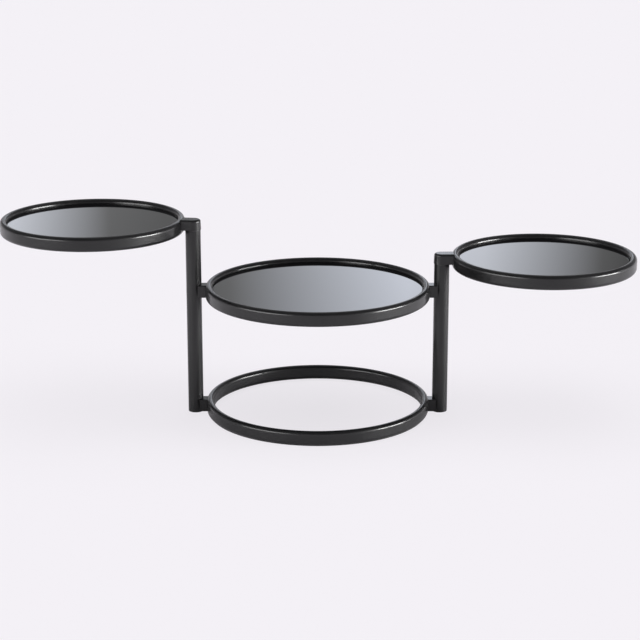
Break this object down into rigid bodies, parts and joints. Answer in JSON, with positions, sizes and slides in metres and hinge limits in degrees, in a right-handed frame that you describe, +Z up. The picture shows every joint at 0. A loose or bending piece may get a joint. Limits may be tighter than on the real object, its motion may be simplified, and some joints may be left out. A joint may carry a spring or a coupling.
{
  "type": "swivel coffee table",
  "caption": "Coffee table with round black glass trays in steel rings: a fixed middle tray between posts on a floor ring, and smaller trays that swivel out from the post tops.",
  "frame": {"origin": "centre of the floor ring, on the floor", "axes": "+X to the short post, -X to the tall post, +Y to the back, +Z up"},
  "size_m": [1.4123, 0.5, 0.4435],
  "materials": {
    "gloss_black_steel": "gloss black powder coat on steel",
    "black_glass": "polished float glass, black on its underside",
    "black_nylon": "moulded black nylon",
    "black_rubber": "black rubber strip",
    "clear_polymer": "clear soft bumper",
    "zinc_plated_steel": "bright zinc plate",
    "ground_steel": "ground and oiled"
  },
  "bodies": {
    "frame": {"base_ring": "gloss_black_steel", "base_stub_left": "gloss_black_steel", "base_stub_right": "gloss_black_steel", "post_left": "gloss_black_steel", "post_right": "gloss_black_steel", "post_plug_left": "black_nylon", "post_plug_right": "black_nylon", "floor_strip": "black_rubber", "middle_ring": "gloss_black_steel", "middle_stub_left": "gloss_black_steel", "middle_stub_right": "gloss_black_steel", "middle_glass_tabs": "gloss_black_steel", "middle_glass_pads": "clear_polymer", "middle_glass": "black_glass", "stub_bolts": "zinc_plated_steel", "stub_washers": "zinc_plated_steel", "bolt_hole_caps": "black_nylon", "swivel_bush_left": "black_nylon", "swivel_bush_right": "black_nylon"},
    "left_tray": {"left_arm": "gloss_black_steel", "left_pivot_pin": "ground_steel", "left_ring": "gloss_black_steel", "left_glass_tabs": "gloss_black_steel", "left_glass_pads": "clear_polymer", "left_glass": "black_glass"},
    "right_tray": {"right_arm": "gloss_black_steel", "right_pivot_pin": "ground_steel", "right_ring": "gloss_black_steel", "right_glass_tabs": "gloss_black_steel", "right_glass_pads": "clear_polymer", "right_glass": "black_glass"}
  },
  "joints": [
    {"name": "left_swivel", "type": "hinge", "parent": "frame", "child": "left_tray", "pos_m": [-0.2755, 0, 0.4205], "axis": [0, 0, 1], "continuous": true},
    {"name": "right_swivel", "type": "hinge", "parent": "frame", "child": "right_tray", "pos_m": [0.2755, 0, 0.3435], "axis": [0, 0, 1], "continuous": true}
  ]
}
